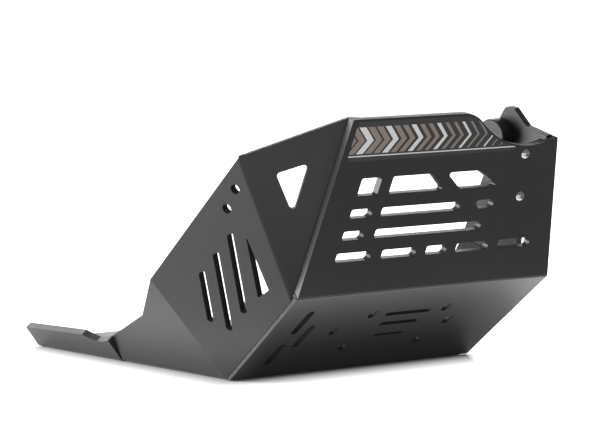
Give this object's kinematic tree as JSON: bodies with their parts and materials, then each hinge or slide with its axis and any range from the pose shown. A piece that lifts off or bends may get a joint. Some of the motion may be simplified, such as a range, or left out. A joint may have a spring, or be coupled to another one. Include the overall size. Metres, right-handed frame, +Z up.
{
  "type": "motorcycle skid plate",
  "caption": "Folded plastic skid plate for a motorcycle's underside, with slotted front panels, a window at the left, a tail lip and a spacer at the right wall.",
  "frame": {"origin": "middle of the bottom's underside, halfway between the front fold and the tail", "axes": "-Y towards the front panels, +X towards the wall with the spacer, +Z up; the bottom lies on Z = 0"},
  "size_m": [0.3823, 0.4887, 0.2704],
  "materials": {
    "black_sheet": "smooth satin, black through and through",
    "printed_film": "printed vinyl under clear laminate",
    "spacer_plastic": "turned, satin",
    "steel": "plain stainless"
  },
  "bodies": {
    "root": {"skid_plate": "black_sheet", "front_sticker": "printed_film", "mount_spacer": "spacer_plastic", "front_screws": "steel", "front_washers": "steel", "front_nuts": "steel"}
  },
  "joints": []
}
